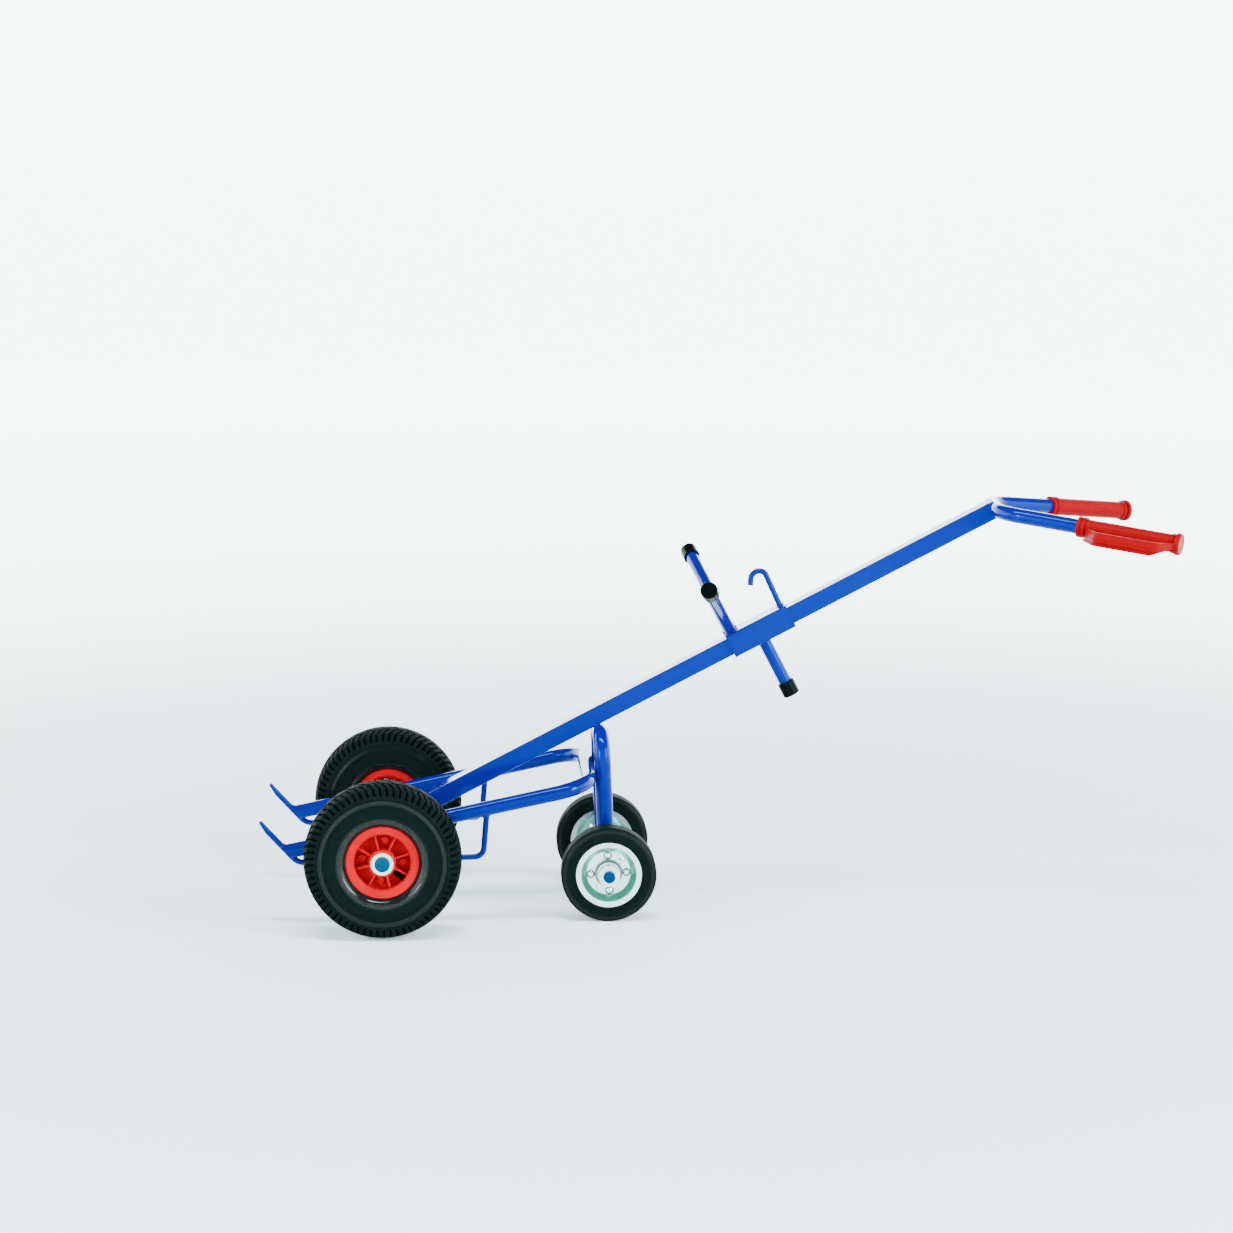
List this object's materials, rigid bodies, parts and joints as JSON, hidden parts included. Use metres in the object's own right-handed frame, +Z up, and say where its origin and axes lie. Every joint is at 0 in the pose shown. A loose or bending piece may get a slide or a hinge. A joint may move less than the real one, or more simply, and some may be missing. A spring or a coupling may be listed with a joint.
{
  "type": "drum trolley",
  "caption": "Four-wheeled drum trolley: sloping spine with a sliding rim hook and cradle arms, toe prongs, splayed handles with guarded grips, air-filled main wheels and small support wheels.",
  "frame": {"origin": "on the floor under the middle of the trolley's length and width", "axes": "+X back from the toe prongs to the handles, +Y to the operator's right, +Z up"},
  "size_m": [1.5232, 0.5526, 0.694],
  "materials": {
    "blue_paint": "glossy blue enamel",
    "red_grip": "satin red moulded plastic",
    "red_rim": "red moulded plastic",
    "black_cap": "black soft plastic",
    "tyre": "black rubber",
    "solid_rubber": "black solid rubber",
    "tube_rubber": "black butyl rubber",
    "valve": "black rubber",
    "zinc": "bright zinc plate",
    "axle_steel": "drawn steel",
    "cap_steel": "blued pressed steel",
    "cage_plastic": "natural nylon"
  },
  "bodies": {
    "frame": {"spine_tube": "blue_paint", "axle_tube": "blue_paint", "support_axle_tube": "blue_paint", "strut_bow": "blue_paint", "leg_bow": "blue_paint", "handle_bow": "blue_paint", "main_axle": "axle_steel", "support_axle": "axle_steel", "main_axle_washers": "zinc", "main_axle_caps": "cap_steel", "support_axle_washers": "zinc", "support_axle_caps": "cap_steel", "toe_rod_left": "blue_paint", "toe_rod_right": "blue_paint", "grip_left": "red_grip", "grip_right": "red_grip"},
    "hook_carriage": {"hook_sleeve": "blue_paint", "hook_rod": "blue_paint", "slide_lever": "blue_paint", "lever_cap": "black_cap", "cradle_arm_left": "blue_paint", "cradle_arm_right": "blue_paint", "arm_cap_left": "black_cap", "arm_cap_right": "black_cap"},
    "main_wheel_left": {"main_tyre_left": "tyre", "main_inner_tube_left": "tube_rubber", "main_valve_left": "valve", "main_rim_outer_left": "red_rim", "main_rim_inner_left": "red_rim", "main_rim_screws_left": "zinc", "main_bearing_cage_left": "cage_plastic", "main_bearing_rollers_left": "axle_steel"},
    "support_wheel_left": {"support_tyre_left": "solid_rubber", "support_disc_outer_left": "zinc", "support_disc_inner_left": "zinc", "support_rivets_left": "zinc", "support_hub_left": "zinc", "support_bearing_cage_left": "cage_plastic", "support_bearing_rollers_left": "axle_steel"},
    "main_wheel_right": {"main_tyre_right": "tyre", "main_inner_tube_right": "tube_rubber", "main_valve_right": "valve", "main_rim_outer_right": "red_rim", "main_rim_inner_right": "red_rim", "main_rim_screws_right": "zinc", "main_bearing_cage_right": "cage_plastic", "main_bearing_rollers_right": "axle_steel"},
    "support_wheel_right": {"support_tyre_right": "solid_rubber", "support_disc_outer_right": "zinc", "support_disc_inner_right": "zinc", "support_rivets_right": "zinc", "support_hub_right": "zinc", "support_bearing_cage_right": "cage_plastic", "support_bearing_rollers_right": "axle_steel"}
  },
  "joints": [
    {"name": "main_wheel_left_spin", "type": "hinge", "parent": "frame", "child": "main_wheel_left", "pos_m": [-0.55484, -0.23, 0.13], "axis": [0, 1, 0], "continuous": true},
    {"name": "support_wheel_left_spin", "type": "hinge", "parent": "frame", "child": "support_wheel_left", "pos_m": [-0.17884, -0.13, 0.08], "axis": [0, 1, 0], "continuous": true},
    {"name": "main_wheel_right_spin", "type": "hinge", "parent": "frame", "child": "main_wheel_right", "pos_m": [-0.55484, 0.23, 0.13], "axis": [0, 1, 0], "continuous": true},
    {"name": "support_wheel_right_spin", "type": "hinge", "parent": "frame", "child": "support_wheel_right", "pos_m": [-0.17884, 0.13, 0.08], "axis": [0, 1, 0], "continuous": true},
    {"name": "hook_slide", "type": "slide", "parent": "frame", "child": "hook_carriage", "axis": [0.8859, 0, 0.4639], "range_m": [-0.215, 0.35]}
  ]
}
